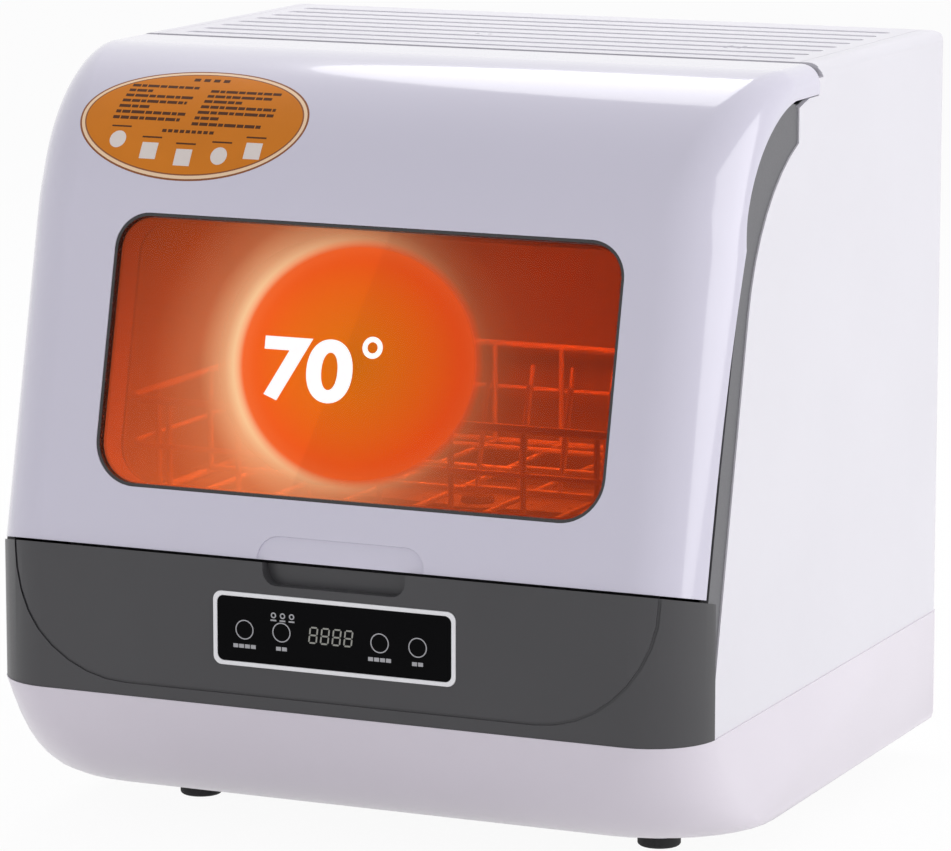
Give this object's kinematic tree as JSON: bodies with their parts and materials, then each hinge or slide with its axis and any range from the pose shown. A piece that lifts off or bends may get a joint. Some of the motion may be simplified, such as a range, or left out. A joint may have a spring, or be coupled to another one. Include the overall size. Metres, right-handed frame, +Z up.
{
  "type": "countertop dishwasher",
  "caption": "Countertop dishwasher with a curved lift-up window door, dark touch console, rounded base on low feet, slide-out wire rack, spray arms and the washing gear inside.",
  "frame": {"origin": "on the floor under the middle of the body", "axes": "-Y towards the front, +X to the right seen from the front, +Z up"},
  "size_m": [0.42, 0.396, 0.427],
  "materials": {
    "base_plastic": "satin",
    "casing_plastic": "satin",
    "foot_rubber": "matt",
    "console_plastic": "satin",
    "screw_steel": "plain",
    "frame_plastic": "gloss",
    "panel_gloss": "gloss",
    "display_plastic": "matt",
    "board": "matt",
    "black_plastic": "matt",
    "tub_plastic": "satin",
    "gasket_rubber": "matt",
    "grey_plastic": "satin",
    "filter_steel": "satin",
    "arm_plastic": "satin",
    "motor_metal": "satin",
    "tank_plastic": "translucent",
    "lamp_lens": "frosted",
    "hinge_steel": "satin",
    "door_gloss": "high gloss",
    "liner_plastic": "satin",
    "black_gloss": "gloss",
    "window_glass": "tinted",
    "window_film": "printed fade",
    "clear_glass": "clear",
    "rack_wire": "coated wire",
    "basket_plastic": "satin"
  },
  "bodies": {
    "cabinet": {"base_tray": "base_plastic", "foot_cups": "casing_plastic", "foot_pads": "foot_rubber", "fascia": "console_plastic", "side_panel_left": "casing_plastic", "side_panel_right": "casing_plastic", "top_cover": "casing_plastic", "back_cover": "casing_plastic", "cover_screws": "screw_steel", "control_frame": "frame_plastic", "control_glass": "panel_gloss", "display_module": "display_plastic", "control_board": "board", "reed_sensor": "black_plastic", "door_stops": "foot_rubber", "tub": "tub_plastic", "door_gasket": "gasket_rubber", "rack_rails": "tub_plastic", "sump_well": "grey_plastic", "lower_spray_hub": "grey_plastic", "upper_spray_hub": "grey_plastic", "spray_feed_pipe": "grey_plastic", "pump_volute": "grey_plastic", "pump_motor": "motor_metal", "pump_mount": "foot_rubber", "drain_pump": "grey_plastic", "water_heater": "filter_steel", "pump_hose": "gasket_rubber", "water_tank": "tank_plastic", "fill_spigot": "casing_plastic", "drain_spigot": "grey_plastic", "cord_gland": "black_plastic", "power_board": "black_plastic", "blower_housing": "grey_plastic", "blower_motor": "motor_metal", "air_duct": "grey_plastic", "tub_lamp": "lamp_lens", "hinge_bracket_left": "hinge_steel", "hinge_bracket_right": "hinge_steel", "hinge_pins": "hinge_steel"},
    "door": {"door_shell": "door_gloss", "door_liner": "liner_plastic", "window_seal": "black_gloss", "window_glass": "window_glass", "window_film": "window_film", "inner_glass": "clear_glass", "door_arm_left": "hinge_steel", "door_arm_right": "hinge_steel", "door_magnet": "screw_steel", "liner_screws": "screw_steel"},
    "rack": {"rack_floor": "rack_wire", "rack_end_walls": "rack_wire", "rack_side_walls": "rack_wire", "rack_corners": "rack_wire", "rack_tines": "rack_wire", "cutlery_basket": "basket_plastic"},
    "lower_arm": {"lower_spray_arm": "arm_plastic"},
    "upper_arm": {"upper_spray_arm": "arm_plastic"},
    "fan": {"blower_wheel": "arm_plastic"},
    "filter": {"sump_filter": "filter_steel"}
  },
  "joints": [
    {"name": "door_hinge", "type": "hinge", "parent": "cabinet", "child": "door", "pos_m": [0, -0.0155, 0.4195], "axis": [-1, 0, 0], "range_deg": [0, 75]},
    {"name": "rack_slide", "type": "slide", "parent": "cabinet", "child": "rack", "axis": [0, -1, 0], "range_m": [0, 0.151]},
    {"name": "lower_spray_spin", "type": "hinge", "parent": "cabinet", "child": "lower_arm", "pos_m": [0, 0.002, 0.164], "axis": [0, 0, 1], "continuous": true},
    {"name": "upper_spray_spin", "type": "hinge", "parent": "cabinet", "child": "upper_arm", "pos_m": [0, 0.002, 0.378], "axis": [0, 0, 1], "continuous": true},
    {"name": "fan_spin", "type": "hinge", "parent": "cabinet", "child": "fan", "pos_m": [0.19, 0.09, 0.29], "axis": [1, 0, 0], "continuous": true},
    {"name": "filter_twist", "type": "hinge", "parent": "cabinet", "child": "filter", "pos_m": [0, -0.098, 0.13], "axis": [0, 0, 1], "range_deg": [0, 45]}
  ],
  "couplings": [
    {"joint": "rack_slide", "follows": "door_hinge", "m_per_rad": 0.1145}
  ]
}
